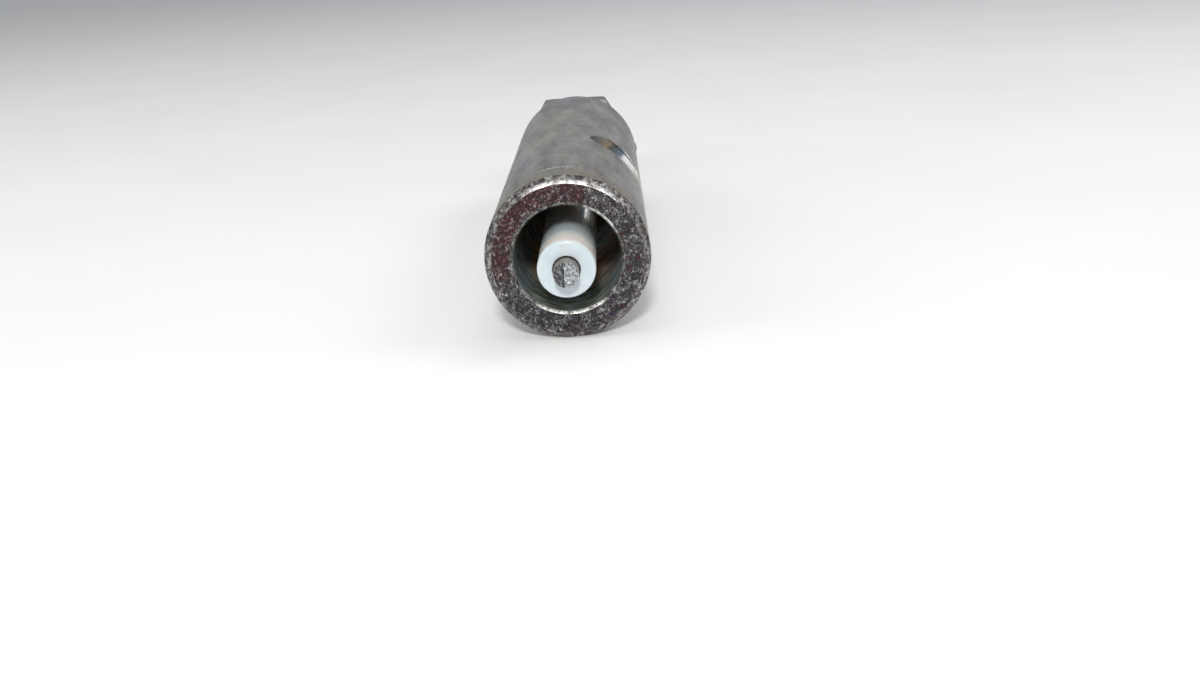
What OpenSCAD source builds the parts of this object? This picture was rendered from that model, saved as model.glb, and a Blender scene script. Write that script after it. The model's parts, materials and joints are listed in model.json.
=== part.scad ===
// Ignition electrode for a burner: a thick steel sleeve, open at its spark end,
// carries a ceramic-insulated rod on its axis. A packed gland at the rear grips
// the ceramic, and a screw terminal behind it takes the high-tension lead.
// The axis lies along Y with the spark end towards -Y, and +Z is up.
// The origin is on the axis at the middle of the sleeve's length.
// Stations are distances along the axis from the sleeve's front face.

/* [Sleeve] */
// Outside diameter of the sleeve, half-inch pipe
sleeve_od = 21.3; // [20.5:0.1:28]
// Wall thickness of the sleeve, schedule 80
sleeve_wall = 3.73; // [2.8:0.01:4.5]
// Length of the sleeve
sleeve_len = 76.2; // [60:0.1:130]
// Chamfer on the outer edge of both ends
edge_chamfer = 0.85; // [0.3:0.05:1.2]
// Chamfer on the inner edge of the mouth
mouth_chamfer = 0.25; // [0.1:0.05:0.8]

/* [Side port] */
// Diameter of the hole through the sleeve's wall
port_d = 11.1; // [5:0.1:13]
// Distance of the port's axis behind the front face
port_station = 32; // [20:0.1:40]
// Angle of the port round the axis, from the top towards +X
port_angle = 50; // [0:1:180]

/* [Electrode] */
// Outside diameter of the ceramic tube
insulator_od = 7.3; // [6.6:0.1:9]
// Ceramic standing proud of the sleeve's front face
insulator_proud = 5.1; // [1:0.1:12]
// Ceramic standing out behind the sleeve's rear face
insulator_tail = 33; // [30:0.5:60]
// Small chamfer on the ceramic's edges
insulator_chamfer = 0.3; // [0.1:0.05:0.5]
// Diameter of the electrode rod
rod_d = 3.175; // [2:0.005:4]
// Rod standing proud of the ceramic
rod_proud = 2.7; // [1:0.1:15]

/* [Gland] */
// Radial shoulder of the gland body's hexagon flats outside its thread
body_shoulder = 1.125; // [0.8:0.005:3]
// Thickness of the gland body's hexagon
body_hex_t = 5; // [4:0.1:10]
// Radial step from the sleeve's bore out to the tapped thread at its rear
tap_step = 1.53; // [1:0.01:1.8]
// Thickness of the spigot's nose, which guides the ceramic
nose_t = 2.5; // [1.5:0.1:3]
// Radial section of a packing ring
packing_section = 2; // [1.5:0.1:2.4]
// Length of one packing ring along the axis
packing_t = 2.5; // [1.5:0.1:3]
// Thickness of the steel washer under the packing
seat_washer_t = 1; // [0.5:0.1:1.5]
// Length of the follower that presses the packing
follower_t = 3; // [2:0.1:4]
// Thickness of the crush gasket between sleeve and gland body
gasket_t = 0.7; // [0.5:0.1:1.5]
// Radial width of the crush gasket
gasket_w = 1; // [0.6:0.1:1.1]
// Radial step from the packing chamber up to the gland nut's thread
thread_step = 0.6; // [0.4:0.1:1]
// Gap left between the gland nut's head and the gland body
nut_gap = 1.5; // [0.5:0.1:3]
// Radial shoulder of the gland nut's hexagon flats outside its thread
nut_shoulder = 0.7; // [0.4:0.1:2]
// Thickness of the gland nut's head
nut_hex_t = 5; // [3:0.1:8]

/* [Terminal] */
// Diameter of the terminal stud's thread
stud_d = 5; // [4.6:0.1:6]
// Radial width of the cushion washer round the stud's flange
cushion_w = 0.4; // [0.3:0.05:0.6]
// Thickness of the stud's flange, and of the cushion washer round it
flange_t = 1; // [0.5:0.1:2]
// Depth of the hole in the stud that takes the rod's end
stud_socket = 5.2; // [3:0.1:8]
// Bare thread behind the thumb nut, for it to back off and free a lug
stud_free = 2.6; // [2.5:0.1:8]
// Radial step from the stud's thread down to the plain pin at its end
pin_step = 0.5; // [0.3:0.05:1]
// Length of that pin, for a push-on connector
pin_len = 4; // [3:0.1:10]
// Wall of the brass cap
cap_wall = 1.25; // [0.8:0.05:2]
// Length of the cap along the ceramic
cap_skirt = 6; // [4:0.5:10]
// Thickness of the cap's end wall
cap_end_t = 1.4; // [1:0.1:3]
// Radial width of the cement seal round the rod at the ceramic's rear end
cement_w = 1.3; // [0.5:0.1:1.5]
// Depth of the cement seal
cement_t = 5; // [2:0.5:10]
// Hexagon of the nut that holds the stud to the cap, across flats
hex_nut_af = 8; // [7.5:0.1:9]
// Thickness of that nut
hex_nut_t = 2.7; // [2:0.1:4]
// Outside diameter of the terminal washers
washer_od = 9; // [8:0.1:12]
// Thickness of a flat terminal washer
washer_t = 0.8; // [0.5:0.1:1.5]
// Thickness of the split lock washer
lock_washer_t = 1; // [0.6:0.1:1.5]
// Diameter of the knurled thumb nut
thumb_nut_d = 9; // [8:0.1:14]
// Thickness of the thumb nut
thumb_nut_t = 4.5; // [3:0.1:8]

/* [Fits] */
// Radial gap of the ceramic in the pieces it slides through
slide_gap = 0.08; // [0.02:0.01:0.1]
// Radial gap of the rod in the ceramic
rod_gap = 0.14; // [0.05:0.01:0.3]
// Radial gap at a screw thread
thread_gap = 0.05; // [0.02:0.01:0.1]
// Radial gap of a piece that is cemented or packed in place
seat_gap = 0.03; // [0.01:0.01:0.05]
// Radial gap of a washer on its stud
washer_gap = 0.15; // [0.1:0.05:0.3]

/* [Hidden] */
$fn = 96;
eps = 0.01;
over = 1;                 // how far a cutter runs past what it cuts
lock_slot = 0.8;          // width of the split in the lock washer
nut_chamfer = 0.5;        // depth of the chamfer on hexagon corners
thumb_chamfer = 0.4;      // chamfer on the thumb nut's edges
thumb_hub_t = 1.2;        // length of the thumb nut's smooth hub
thumb_hub_step = 0.8;     // radial step down to that hub
small_chamfer = 0.3;      // chamfer on the ends of screw threads and the cap

sleeve_r = sleeve_od / 2;
bore_r = sleeve_r - sleeve_wall;
port_r = port_d / 2;
insulator_r = insulator_od / 2;
rod_r = rod_d / 2;
rod_hole_r = rod_r + rod_gap;
cement_r = rod_r + cement_w;

// Radii inside the gland, from the ceramic outwards
slide_r = insulator_r + slide_gap;
chamber_r = insulator_r + packing_section;
nut_thread_r = chamber_r + thread_step;
tapped_r = bore_r + tap_step;
spigot_r = tapped_r - thread_gap;
body_hex_r = spigot_r + body_shoulder;
nut_hex_r = nut_thread_r + nut_shoulder;

// Stations of the gland: half of the follower lies in front of the sleeve's rear face
spigot_len = nose_t + seat_washer_t + 3 * packing_t + follower_t / 2;
spigot_front = sleeve_len - spigot_len;
chamber_front = spigot_front + nose_t;
packing_front = chamber_front + seat_washer_t;
follower_front = packing_front + 3 * packing_t;
nut_front = follower_front + follower_t;
hex_front = sleeve_len + gasket_t;
hex_rear = hex_front + body_hex_t;
nut_head_front = hex_rear + nut_gap;
nut_rear = nut_head_front + nut_hex_t;
tapped_front = spigot_front - 2 * thread_step;

// Stations of the electrode and its terminal
insulator_front = -insulator_proud;
rod_front = insulator_front - rod_proud;
insulator_rear = sleeve_len + insulator_tail;
cap_inner = insulator_rear + flange_t;
cap_rear = cap_inner + cap_end_t;
hex_nut_rear = cap_rear + hex_nut_t;
plain_washer_rear = hex_nut_rear + washer_t;
clamp_washer_rear = plain_washer_rear + washer_t;
lock_washer_rear = clamp_washer_rear + lock_washer_t;
thumb_nut_rear = lock_washer_rear + thumb_nut_t;
stud_rear = thumb_nut_rear + stud_free;
pin_rear = stud_rear + pin_len;
cap_bore_r = insulator_r + seat_gap;
flange_r = insulator_r - cushion_w - seat_gap;
stud_r = stud_d / 2;
pin_r = stud_r - pin_step;
stud_hole_r = stud_r + thread_gap;
socket_r = rod_r + seat_gap;

// Puts a shape drawn along +Z onto the axis, starting at a station
module at(station)
    translate([0, station - sleeve_len / 2, 0]) rotate([-90, 0, 0]) children();

// Solid rod between two stations, with a chamfer at each end
module turned(from, to, r, front_chamfer = 0, rear_chamfer = 0)
    at(from) rotate_extrude() polygon([
        [0, 0], [r - front_chamfer, 0], [r, front_chamfer],
        [r, to - from - rear_chamfer], [r - rear_chamfer, to - from], [0, to - from]
    ]);

// Cutter for a round hole between two stations
module hole(from, to, r)
    at(from) cylinder(h = to - from, r = r);

// Cutter for the chamfer at the mouth of a hole: opens towards -Y
module mouth(station, r, size)
    at(station - eps) cylinder(h = size + eps, r1 = r + size + eps, r2 = r);

// Flat ring between two stations
module ring(from, to, r_in, r_out)
    difference() {
        turned(from, to, r_out);
        hole(from - over, to + over, r_in);
    }

// Hexagon bar with a flat on top and its corners chamfered at both ends
module hexagon(from, to, flat_r) {
    corner_r = flat_r / cos(30);
    intersection() {
        at(from) cylinder(h = to - from, r = corner_r, $fn = 6);
        turned(from, to, corner_r, nut_chamfer, nut_chamfer);
    }
}

module sleeve()
    color("dimgray") difference() {
        turned(0, sleeve_len, sleeve_r, edge_chamfer, edge_chamfer);
        hole(-over, sleeve_len + over, bore_r);
        mouth(0, bore_r, mouth_chamfer);
        hole(tapped_front, sleeve_len + over, tapped_r);
        translate([0, port_station - sleeve_len / 2, 0])
            rotate([0, port_angle, 0]) cylinder(h = sleeve_r + over, r = port_r);
    }

module body_gasket()
    color("peru") ring(sleeve_len, hex_front, tapped_r, tapped_r + gasket_w);

module gland_body()
    color("silver") difference() {
        union() {
            turned(spigot_front, hex_front + over, spigot_r, small_chamfer);
            hexagon(hex_front, hex_rear, body_hex_r);
        }
        hole(spigot_front - over, hex_rear + over, slide_r);
        hole(chamber_front, hex_rear + over, chamber_r + seat_gap);
        hole(nut_front - thread_step, hex_rear + over, nut_thread_r + thread_gap);
    }

module seat_washer()
    color("gray") ring(chamber_front, packing_front, slide_r, chamber_r);

module packing_ring(index)
    color("black") ring(packing_front + index * packing_t,
        packing_front + (index + 1) * packing_t, insulator_r + seat_gap, chamber_r);

module follower()
    color("goldenrod") ring(follower_front, nut_front, slide_r, chamber_r - slide_gap + seat_gap);

module gland_nut()
    color("silver") difference() {
        union() {
            turned(nut_front, nut_head_front + over, nut_thread_r, small_chamfer);
            hexagon(nut_head_front, nut_rear, nut_hex_r);
        }
        hole(nut_front - over, nut_rear + over, slide_r);
    }

module insulator_tube()
    color("white") difference() {
        turned(insulator_front, insulator_rear, insulator_r, insulator_chamfer, insulator_chamfer);
        hole(insulator_front - over, insulator_rear + over, rod_hole_r);
        hole(insulator_rear - cement_t, insulator_rear + over, cement_r);
    }

module electrode_rod()
    color("lightgray") turned(rod_front, insulator_rear + stud_socket - seat_gap, rod_r,
        small_chamfer / 2, small_chamfer / 2);

module cement_seal()
    color("tan") ring(insulator_rear - cement_t, insulator_rear, rod_r, cement_r);

module cushion_washer()
    color("khaki") ring(insulator_rear, cap_inner, insulator_r - cushion_w, insulator_r);

module terminal_cap()
    color("gold") difference() {
        turned(insulator_rear - cap_skirt, cap_rear, cap_bore_r + cap_wall, 0, small_chamfer);
        hole(insulator_rear - cap_skirt - over, cap_inner, cap_bore_r);
        hole(cap_inner - over, cap_rear + over, stud_hole_r);
    }

module terminal_stud()
    color("gold") difference() {
        union() {
            turned(insulator_rear, cap_inner, flange_r);
            turned(insulator_rear, stud_rear, stud_r, 0, small_chamfer);
            turned(insulator_rear, pin_rear, pin_r, 0, small_chamfer);
        }
        hole(insulator_rear - over, insulator_rear + stud_socket, socket_r);
    }

module hex_nut()
    color("silver") difference() {
        hexagon(cap_rear, hex_nut_rear, hex_nut_af / 2);
        hole(cap_rear - over, hex_nut_rear + over, stud_hole_r);
    }

module plain_washer()
    color("silver") ring(hex_nut_rear, plain_washer_rear, stud_r + washer_gap, washer_od / 2);

module clamp_washer()
    color("silver") ring(plain_washer_rear, clamp_washer_rear, stud_r + washer_gap, washer_od / 2);

module lock_washer()
    color("gray") difference() {
        ring(clamp_washer_rear, lock_washer_rear, stud_r + washer_gap, washer_od / 2 - washer_t);
        at(clamp_washer_rear - over) translate([0, -lock_slot / 2, 0])
            cube([washer_od, lock_slot, lock_washer_t + 2 * over]);
    }

module thumb_nut()
    color("gold") difference() {
        union() {
            turned(lock_washer_rear, thumb_nut_rear - thumb_hub_t, thumb_nut_d / 2,
                thumb_chamfer, thumb_chamfer);
            turned(lock_washer_rear, thumb_nut_rear, thumb_nut_d / 2 - thumb_hub_step,
                thumb_chamfer, thumb_chamfer);
        }
        hole(lock_washer_rear - over, thumb_nut_rear + over, stud_hole_r);
    }

sleeve();
body_gasket();
gland_body();
seat_washer();
packing_ring(0);  // packing_ring_front
packing_ring(1);  // packing_ring_middle
packing_ring(2);  // packing_ring_rear
follower();
gland_nut();
insulator_tube();
electrode_rod();
cement_seal();
cushion_washer();
terminal_cap();
terminal_stud();
hex_nut();
plain_washer();
clamp_washer();
lock_washer();
thumb_nut();
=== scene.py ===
import json
import math

import bmesh
import bpy
import numpy as np
from mathutils import Matrix, Vector, noise


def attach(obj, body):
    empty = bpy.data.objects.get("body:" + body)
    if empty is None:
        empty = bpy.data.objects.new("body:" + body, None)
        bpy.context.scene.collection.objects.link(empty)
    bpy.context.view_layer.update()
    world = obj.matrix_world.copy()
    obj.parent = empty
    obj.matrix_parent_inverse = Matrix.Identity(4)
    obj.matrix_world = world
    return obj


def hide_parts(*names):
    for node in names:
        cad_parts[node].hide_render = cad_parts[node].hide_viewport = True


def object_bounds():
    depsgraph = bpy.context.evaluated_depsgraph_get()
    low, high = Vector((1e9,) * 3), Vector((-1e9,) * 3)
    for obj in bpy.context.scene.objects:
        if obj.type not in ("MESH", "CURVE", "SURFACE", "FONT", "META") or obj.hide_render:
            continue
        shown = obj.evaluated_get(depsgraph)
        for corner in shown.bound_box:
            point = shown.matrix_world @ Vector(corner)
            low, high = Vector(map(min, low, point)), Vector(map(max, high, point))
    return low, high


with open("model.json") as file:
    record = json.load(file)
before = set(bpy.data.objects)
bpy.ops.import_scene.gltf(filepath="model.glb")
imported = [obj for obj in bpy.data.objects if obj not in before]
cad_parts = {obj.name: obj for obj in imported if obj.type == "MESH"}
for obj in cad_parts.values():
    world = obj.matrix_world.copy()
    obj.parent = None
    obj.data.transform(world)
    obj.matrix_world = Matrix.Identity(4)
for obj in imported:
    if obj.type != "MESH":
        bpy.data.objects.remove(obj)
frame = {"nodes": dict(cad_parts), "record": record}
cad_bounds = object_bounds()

MM = 0.001
TURN = 2 * math.pi
COS_30 = math.cos(math.radians(30))

# ---------------------------------------------------------------- sizes, from the frame


def spans(node):
    """Front and rear station, inner and outer radius of a CAD node, in metres."""
    co = np.array([v.co for v in frame["nodes"][node].data.vertices])
    radius = np.hypot(co[:, 0], co[:, 2])
    return co[:, 1].min(), co[:, 1].max(), radius.min(), radius.max()


MOUTH, SLEEVE_REAR, BORE_R, SLEEVE_R = spans("sleeve")
INSULATOR_FRONT, INSULATOR_REAR, ROD_HOLE_R, INSULATOR_R = spans("insulator_tube")
ROD_FRONT, ROD_REAR, _, ROD_R = spans("electrode_rod")
SPIGOT_FRONT, BODY_REAR, SLIDE_R, BODY_CORNER_R = spans("gland_body")
_, HEX_FRONT, TAPPED_R, _ = spans("body_gasket")

low, high = (Vector(c) for c in frame["record"]["physics"]["openings"][0]["box_m"])
PORT_CENTRE = (low + high) / 2
PORT_ANGLE = math.atan2(PORT_CENTRE.x, PORT_CENTRE.z)

# Sizes that the frame's nodes can't be asked for, as in the CAD
PORT_R = 5.55 * MM
EDGE_CHAMFER = 0.85 * MM
MOUTH_CHAMFER = 0.25 * MM
STUD_R = 2.5 * MM

# ---------------------------------------------------------------- mesh making

WELD = 1e-6  # points closer than this become one
ON_AXIS = 1e-9  # a smaller radius is a point on the axis
LONGEST_CUT = 0.45  # share of a side that the rounding of one corner may take
ROUND_COLUMNS = 144


def mesh_object(name, verts, faces, kinds, materials, sharp=35):
    """Closed mesh from vertices and faces. kinds gives each face's material index."""
    mesh = bpy.data.meshes.new(name)
    mesh.from_pydata([tuple(v) for v in verts], [], [tuple(f) for f in faces])
    for m in materials:
        mesh.materials.append(m)
    mesh.polygons.foreach_set("material_index", np.array(kinds, np.int32))
    obj = bpy.data.objects.new(name, mesh)
    bpy.context.scene.collection.objects.link(obj)
    clean_up(mesh, sharp)
    return obj


def clean_up(mesh, sharp):
    """Joins seams, drops loose points, turns the faces outward and shades smooth."""
    bm = bmesh.new()
    bm.from_mesh(mesh)
    bmesh.ops.remove_doubles(bm, verts=bm.verts, dist=WELD)
    bmesh.ops.delete(bm, geom=[v for v in bm.verts if not v.link_faces], context="VERTS")
    bmesh.ops.recalc_face_normals(bm, faces=bm.faces)
    bm.to_mesh(mesh)
    bm.free()
    mesh.shade_smooth()
    mesh.set_sharp_from_angle(angle=math.radians(sharp))
    mesh.update()


def on_axis(angle, station, radius):
    """Point at an angle from the top towards +X, a station along Y and a radius."""
    return (radius * math.sin(angle), station, radius * math.cos(angle))


def curve(a, b, c, t):
    """Point at t from 0 to 1 on the curve from a to c that b pulls."""
    return a * (1 - t) ** 2 + b * 2 * t * (1 - t) + c * t * t


def rounded(corners, steps=4):
    """Outline (station, radius) through corners (station, radius, fillet), corners rounded."""
    out = []
    count = len(corners)
    for i, (y, r, fillet) in enumerate(corners):
        here = Vector((y, r))
        before = Vector(corners[i - 1][:2]) - here
        after = Vector(corners[(i + 1) % count][:2]) - here
        if fillet <= 0 or r <= 0:
            out.append((y, r))
            continue
        cut = min(fillet, before.length * LONGEST_CUT, after.length * LONGEST_CUT)
        a = here + before.normalized() * cut
        b = here + after.normalized() * cut
        for k in range(steps + 1):
            p = curve(a, here, b, k / steps)
            out.append((p.x, p.y))
    return out


def divided(outline, step, closed=True):
    """The same outline with no stretch longer than step."""
    out = []
    last = len(outline) if closed else len(outline) - 1
    for i in range(last):
        a, b = Vector(outline[i]), Vector(outline[(i + 1) % len(outline)])
        parts = max(1, math.ceil((b - a).length / step - 1e-6))
        out += [tuple(a.lerp(b, k / parts)) for k in range(parts)]
    if not closed:
        out.append(tuple(outline[-1]))
    return out


def rows_between(front, rear, radius, step):
    """Outline along a cylinder, in steps."""
    return divided([(front, radius), (rear, radius)], step, closed=False)


def even(count):
    """Angles of count equal steps round the axis."""
    return [TURN * i / count for i in range(count)]


def quads(first, second, count):
    """Faces between two rings of count points, which start at two indices."""
    following = [(k + 1) % count for k in range(count)]
    return [(first + k, first + n, second + n, second + k) for k, n in enumerate(following)]


def lathe(name, outline, angles, materials, shape=None, kind=None, sharp=35):
    """Turned solid from an outline (station, radius), closed unless it meets the axis.

    shape(angle, station, radius) gives a point's radius where it isn't round.
    kind(station, radius) gives a stretch's material index.
    """
    rows = []
    for y, r in outline:
        if r <= ON_AXIS:
            rows.append([(0, y, 0)])
        else:
            radii = [shape(a, y, r) if shape else r for a in angles]
            rows.append([on_axis(a, y, rr) for a, rr in zip(angles, radii)])
    starts = np.cumsum([0] + [len(row) for row in rows])
    closed = all(len(row) > 1 for row in rows)
    faces, kinds = [], []
    for i in range(len(rows) if closed else len(rows) - 1):
        j = (i + 1) % len(rows)
        band = quads(starts[i], starts[j], len(angles))
        if len(rows[i]) == 1:
            band = [(starts[i], c, d) for _, _, c, d in band]
        elif len(rows[j]) == 1:
            band = [(a, b, starts[j]) for a, b, _, _ in band]
        faces += band
        middle = (outline[i][0] + outline[j][0]) / 2, (outline[i][1] + outline[j][1]) / 2
        kinds += [kind(*middle) if kind else 0] * len(band)
    verts = [p for row in rows for p in row]
    return mesh_object(name, verts, faces, kinds, materials, sharp)


def soft_min(a, b, blend):
    """The smaller of two radii, with the change between them rounded."""
    gap = abs(a - b) / blend
    beyond_effect = 40
    return min(a, b) - blend * math.log1p(math.exp(-min(gap, beyond_effect)))


def place(obj, node, body):
    """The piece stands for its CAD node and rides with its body."""
    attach(obj, body)
    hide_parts(node)


# ---------------------------------------------------------------- materials


class Finish:
    """A node material. Sizes in its textures are millimetres, angles are radians."""

    def __init__(self, name, metallic=0.0, roughness=0.5, **fixed):
        self.material = bpy.data.materials.new(name)
        self.material.use_nodes = True
        self.tree = self.material.node_tree
        self.shader = self.tree.nodes["Principled BSDF"]
        self.shader.inputs["Metallic"].default_value = metallic
        self.shader.inputs["Roughness"].default_value = roughness
        for key, value in fixed.items():
            self.shader.inputs[key.replace("_", " ")].default_value = value
        self.mm = self.vector("SCALE", self.add("ShaderNodeTexCoord").outputs["Object"], scale=1000)
        self.x, self.y, self.z = self.add("ShaderNodeSeparateXYZ", self.mm).outputs
        self.angle = self.math("ARCTAN2", self.x, self.z)
        self.radius = self.math("SQRT", self.plus(self.times(self.x, self.x), self.times(self.z, self.z)))
        self.heights = []

    def add(self, kind, *inputs, **settings):
        node = self.tree.nodes.new(kind)
        for key, value in settings.items():
            setattr(node, key, value)
        for i, value in enumerate(inputs):
            self.put(node.inputs[i], value)
        return node

    def put(self, socket, value):
        """Links a node's output to a socket, or sets the socket's value."""
        if isinstance(value, bpy.types.NodeSocket):
            self.tree.links.new(value, socket)
        elif value is not None:
            socket.default_value = value

    def math(self, operation, a, b=None):
        return self.add("ShaderNodeMath", a, b, operation=operation).outputs[0]

    def plus(self, a, b):
        return self.math("ADD", a, b)

    def times(self, first, *others):
        for other in others:
            first = self.math("MULTIPLY", first, other)
        return first

    def vector(self, operation, a, b=None, scale=None):
        node = self.add("ShaderNodeVectorMath", a, b, operation=operation)
        if scale is not None:
            node.inputs["Scale"].default_value = scale
        return node.outputs[0]

    def noise(self, scale, detail=4.0, rough=0.55, stretch=(1, 1, 1), shift=0.0, at=None):
        """Noise from 0 to 1, scale in cycles per millimetre along an axis stretched by 1."""
        where = self.vector("MULTIPLY", self.mm if at is None else at, stretch)
        where = self.vector("ADD", where, (shift, shift * 1.7, -shift))
        node = self.add("ShaderNodeTexNoise")
        self.put(node.inputs["Vector"], where)
        node.inputs["Scale"].default_value = scale
        node.inputs["Detail"].default_value = detail
        node.inputs["Roughness"].default_value = rough
        return node.outputs["Fac"]

    def rings(self, scale):
        """Noise in rings round the axis."""
        from_axis = self.add("ShaderNodeCombineXYZ", self.radius, 0.0, 0.0)
        return self.noise(scale, 2, 0.5, at=from_axis.outputs[0])

    def grains(self, scale):
        node = self.add("ShaderNodeTexVoronoi", self.mm)
        node.inputs["Scale"].default_value = scale
        return node.outputs["Distance"]

    def ramp(self, value, *stops):
        """Colour or grey ramp through (position, colour) stops."""
        node = self.add("ShaderNodeValToRGB", value)
        ramp = node.color_ramp
        for i, (at, colour) in enumerate(stops):
            if i >= len(ramp.elements):
                ramp.elements.new(at)
            ramp.elements[i].position = at
            colour = (colour,) * 3 if isinstance(colour, (int, float)) else colour
            ramp.elements[i].color = (*colour, 1)
        return node.outputs["Color"]

    def rising(self, value, low, high, top=1.0):
        """0 below low, rising to top at high."""
        return self.ramp(value, (low, 0), (high, top))

    def falling(self, value, low, high, top=1.0):
        """top below low, falling to 0 at high."""
        return self.ramp(value, (low, top), (high, 0))

    def share(self, value, low, high):
        """0 at low, 1 at high."""
        return self.add("ShaderNodeMapRange", value, low, high, 0, 1).outputs[0]

    def band(self, value, low, high, soft):
        """1 between low and high, falling to 0 over soft on each side."""
        curved = {"interpolation_type": "SMOOTHSTEP"}
        up = self.add("ShaderNodeMapRange", value, low - soft, low, 0, 1, **curved)
        down = self.add("ShaderNodeMapRange", value, high, high + soft, 1, 0, **curved)
        return self.times(up.outputs[0], down.outputs[0])

    def behind_mouth(self, near, far, soft):
        """1 between two distances behind the sleeve's mouth, falling to 0 over soft."""
        return self.band(self.y, MOUTH / MM + near, MOUTH / MM + far, soft)

    def mix(self, amount, a, b, blend="MIX"):
        node = self.add("ShaderNodeMix", data_type="RGBA", blend_type=blend)
        self.put(node.inputs["Factor"], amount)
        for socket, value in ((node.inputs[6], a), (node.inputs[7], b)):
            self.put(socket, (*value, 1) if isinstance(value, tuple) else value)
        return node.outputs[2]

    def relief(self, height, depth):
        """Adds a bump of a depth in millimetres."""
        self.heights.append((height, depth))

    def done(self, colour, roughness=None):
        """Links the colour, the roughness and all bumps, and gives the material."""
        self.put(self.shader.inputs["Base Color"], colour)
        self.put(self.shader.inputs["Roughness"], roughness)
        normal = None
        for height, depth in self.heights:
            bump = self.add("ShaderNodeBump")
            bump.inputs["Distance"].default_value = depth * MM
            self.put(bump.inputs["Height"], height)
            self.put(bump.inputs["Normal"], normal)
            normal = bump.outputs["Normal"]
        self.put(self.shader.inputs["Normal"], normal)
        return self.material


WARM_GREY = (0.41, 0.375, 0.32)
BLUE_GREY = (0.28, 0.3, 0.345)
OIL_BROWN = (0.36, 0.31, 0.21)
OLIVE_REFLECTION = (0.21, 0.245, 0.125)
PIT_DARK = (0.09, 0.085, 0.08)
MARK_GREY = (0.24, 0.235, 0.24)
DRAWN_GREY = (0.5, 0.49, 0.475)
FLECK_GREY = (0.19, 0.185, 0.18)
SCUFF_BRIGHT = (0.72, 0.71, 0.69)
WORN_TINT = (0.45, 0.43, 0.46)
MAROON = (0.06, 0.0015, 0.005)
MAROON_DARK = (0.008, 0.003, 0.004)
MAROON_FLECK = (0.05, 0.006, 0.01)
LOW_DARK_SPECK = (0.03, 0.02, 0.045)
SCORED_BRIGHT = (0.95, 0.98, 0.98)
TAN_REFLECTION = (0.75, 0.5, 0.33)
RUST = (0.25, 0.13, 0.06)
CERAMIC_FACE = (0.56, 0.64, 0.67)
CERAMIC_REAR = (0.83, 0.83, 0.8)
CERAMIC_SPECK = (0.45, 0.42, 0.36)
CREASE_BLACK = (0.012, 0.012, 0.014)
TARNISH_SPOT = (0.2, 0.12, 0.05)


def sleeve_outside():
    """Dull mill-finish pipe: cloudy grey, faint warm and blue patches, fine marks round the front."""
    f = Finish("steel_outside", metallic=0.82, roughness=0.5)
    cloud = f.noise(0.3, 6, 0.65, stretch=(1, 0.3, 1))
    colour = f.ramp(cloud, (0.32, (0.2, 0.195, 0.19)), (0.5, (0.36, 0.35, 0.335)), (0.66, (0.47, 0.46, 0.44)))
    tint = f.noise(0.2, 4, 0.6, stretch=(1, 0.3, 1), shift=40)
    colour = f.mix(f.rising(tint, 0.5, 0.66, 0.45), colour, WARM_GREY)
    colour = f.mix(f.falling(tint, 0.36, 0.5, 0.5), colour, BLUE_GREY)
    oily = f.times(f.behind_mouth(0, 3.2, 3.5), f.ramp(cloud, (0.42, 0.1), (0.6, 0.75)))
    colour = f.mix(oily, colour, OIL_BROWN)
    pits = f.rising(f.noise(2.0, 5, 0.75, shift=63), 0.52, 0.6, 0.85)
    colour = f.mix(f.times(pits, f.behind_mouth(0, 3, 9)), colour, PIT_DARK)
    rings = f.noise(1.0, 3, 0.6, stretch=(0.15, 5.0, 0.15), shift=9)
    marks = f.times(f.rising(rings, 0.5, 0.75, 0.5), f.behind_mouth(0, 9, 12))
    colour = f.mix(marks, colour, MARK_GREY)
    drawn = f.noise(1.0, 2, 0.5, stretch=(2.4, 0.05, 2.4), shift=3)
    colour = f.mix(f.rising(drawn, 0.55, 0.8, 0.35), colour, DRAWN_GREY)
    colour = f.mix(f.rising(f.noise(3.2, 3, 0.7, shift=21), 0.54, 0.7, 0.75), colour, FLECK_GREY)
    arc_from_top = f.times(f.angle, SLEEVE_R / MM)
    scuff = f.times(f.band(arc_from_top, -2.4, 0.6, 1.4), f.behind_mouth(6.2, 6.5, 0.7))
    scuff = f.times(scuff, f.rising(f.noise(2.0, 3, 0.6, shift=5), 0.42, 0.6))
    colour = f.mix(scuff, colour, SCUFF_BRIGHT)
    f.relief(f.noise(2.2, 5, 0.65), 0.035)
    f.relief(rings, 0.012)
    return f.done(colour, f.ramp(f.noise(0.7, 5, 0.6, shift=2), (0.35, 0.4), (0.7, 0.62)))


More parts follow.
